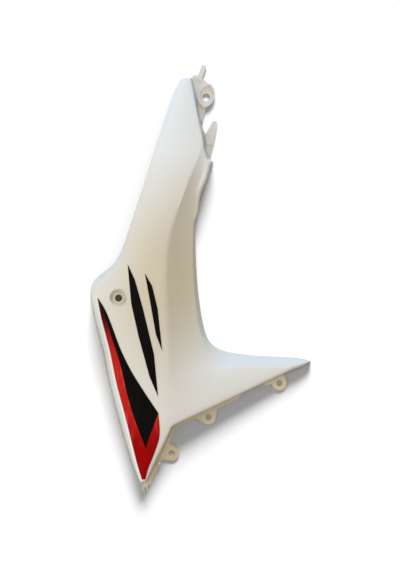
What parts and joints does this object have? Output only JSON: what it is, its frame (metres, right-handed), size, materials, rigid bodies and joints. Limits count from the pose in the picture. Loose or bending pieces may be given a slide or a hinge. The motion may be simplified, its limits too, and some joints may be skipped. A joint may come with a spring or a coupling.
{
  "type": "motorcycle radiator fairing",
  "caption": "Moulded left-hand radiator fairing: long tapered blade, side scoop and wing, with a recessed bolt hole, ears and hooks, and vinyl stripes.",
  "frame": {"origin": "axis of the main bolt's hole, on the outer face of the floor of its recess", "axes": "+X towards the wing, +Y up the blade to its top end, +Z out of the outer face"},
  "size_m": [0.2429, 0.4692, 0.039],
  "materials": {
    "white_plastic": "moulded polypropylene with a soft gloss",
    "red_vinyl": "glossy metallic red film",
    "black_vinyl": "glossy black film"
  },
  "bodies": {
    "root": {"fairing_panel": "white_plastic", "red_stripe_decal": "red_vinyl", "black_stripe_decal": "black_vinyl", "long_strake_decal": "black_vinyl", "short_strake_decal": "black_vinyl"}
  },
  "joints": []
}
